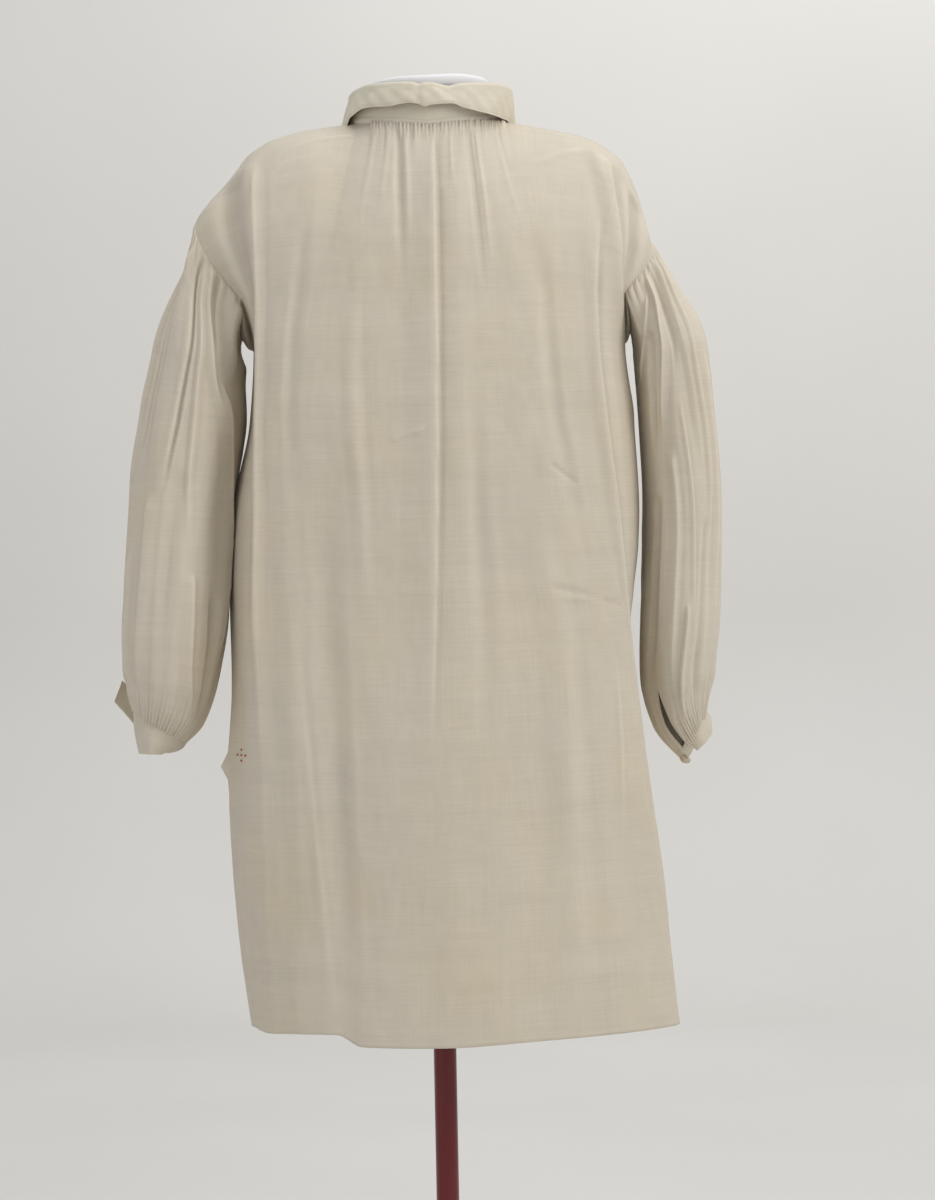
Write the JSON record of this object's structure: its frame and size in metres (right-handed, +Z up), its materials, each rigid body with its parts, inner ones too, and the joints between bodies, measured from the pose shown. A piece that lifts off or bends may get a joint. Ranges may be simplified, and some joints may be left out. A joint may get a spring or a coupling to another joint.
{
  "type": "long-sleeved linen shirt on a limbless dress form with a tube stand",
  "caption": "Old-fashioned full-sleeved linen shirt with a turned-down collar and side vents, worn by a limbless dress form on a pole and round base.",
  "frame": {"origin": "centre of the round base's underside, on the pole's axis", "axes": "+Z up along the pole, the wearer's back faces -Y and the wearer's left side is at -X"},
  "size_m": [0.6692, 0.4, 1.507],
  "materials": {
    "linen": "unbleached plain-weave linen, washed soft, with slubs and old yellow stains",
    "form_cover": "white cotton jersey",
    "red_lacquer": "glossy dark red",
    "button": "old bone or thread, dull",
    "base_metal": "satin black"
  },
  "bodies": {
    "root": {"back": "linen", "front": "linen", "shoulder_strap_left": "linen", "shoulder_strap_right": "linen", "sleeve_left": "linen", "sleeve_right": "linen", "gusset_left": "linen", "gusset_right": "linen", "cuff_left": "linen", "cuff_right": "linen", "vent_gusset_left": "linen", "vent_gusset_right": "linen", "neckband": "linen", "collar": "linen", "collar_button": "button", "cuff_button_left": "button", "cuff_button_right": "button", "form_body": "form_cover", "neck_cap": "form_cover", "form_socket": "base_metal", "pole": "red_lacquer", "base": "base_metal"}
  },
  "joints": []
}
